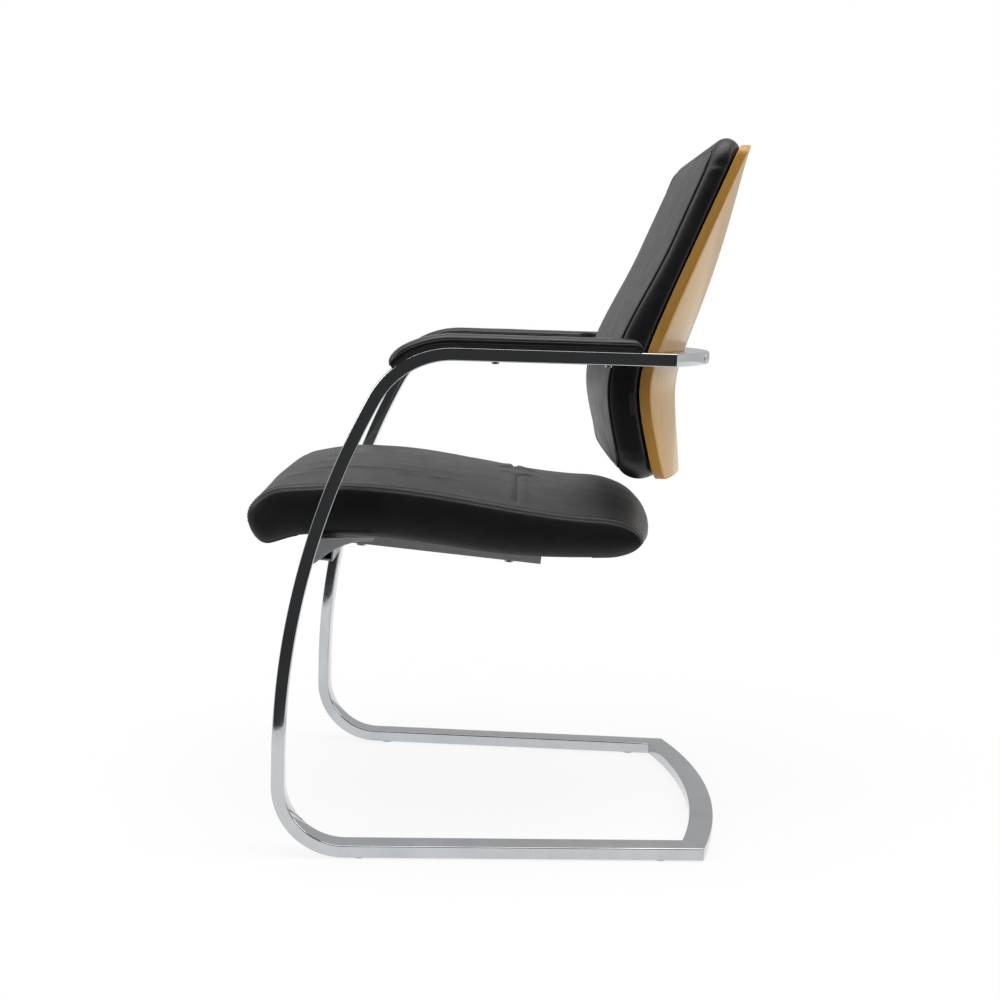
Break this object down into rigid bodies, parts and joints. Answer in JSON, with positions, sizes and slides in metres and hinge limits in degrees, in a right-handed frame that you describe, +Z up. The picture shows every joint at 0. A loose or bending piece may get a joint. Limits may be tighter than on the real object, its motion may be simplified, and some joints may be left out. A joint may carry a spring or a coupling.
{
  "type": "cantilever lounge chair",
  "caption": "Cantilever armchair with a chromed rectangular-tube frame, black leather seat and back cushions, padded arms and a curved wooden back shell.",
  "frame": {"origin": "on the floor, below the middle of the chair's overall box", "axes": "+Z up; the sitter faces -Y; +X is the sitter's left"},
  "size_m": [0.551, 0.625, 0.903],
  "materials": {
    "chrome": "polished chrome plate",
    "steel": "zinc-plated steel",
    "leather": "black semi-gloss leather with a fine grain",
    "wood": "clear-lacquered beech veneer, warm honey tone",
    "plywood": "raw moulded plywood",
    "foam": "open-cell polyurethane foam",
    "plastic": "black moulded nylon",
    "tab": "bare black woven tab"
  },
  "bodies": {
    "root": {"left_side_frame": "chrome", "right_side_frame": "chrome", "base_rear_crossbar": "chrome", "arm_rear_crossbar": "chrome", "seat_front_crossbar": "chrome", "left_seat_rail": "steel", "right_seat_rail": "steel", "floor_glides": "plastic", "seat_panel": "plywood", "seat_bolts": "steel", "seat_foam": "foam", "seat_cover": "leather", "back_shell": "wood", "back_inner_panel": "plywood", "back_shell_bolts": "steel", "back_foam": "foam", "back_cover": "leather", "back_side_tab": "tab", "left_arm_pad_core": "plastic", "left_arm_pad_foam": "foam", "left_arm_pad_cover": "leather", "left_arm_pad_screws": "steel", "right_arm_pad_core": "plastic", "right_arm_pad_foam": "foam", "right_arm_pad_cover": "leather", "right_arm_pad_screws": "steel"}
  },
  "joints": []
}
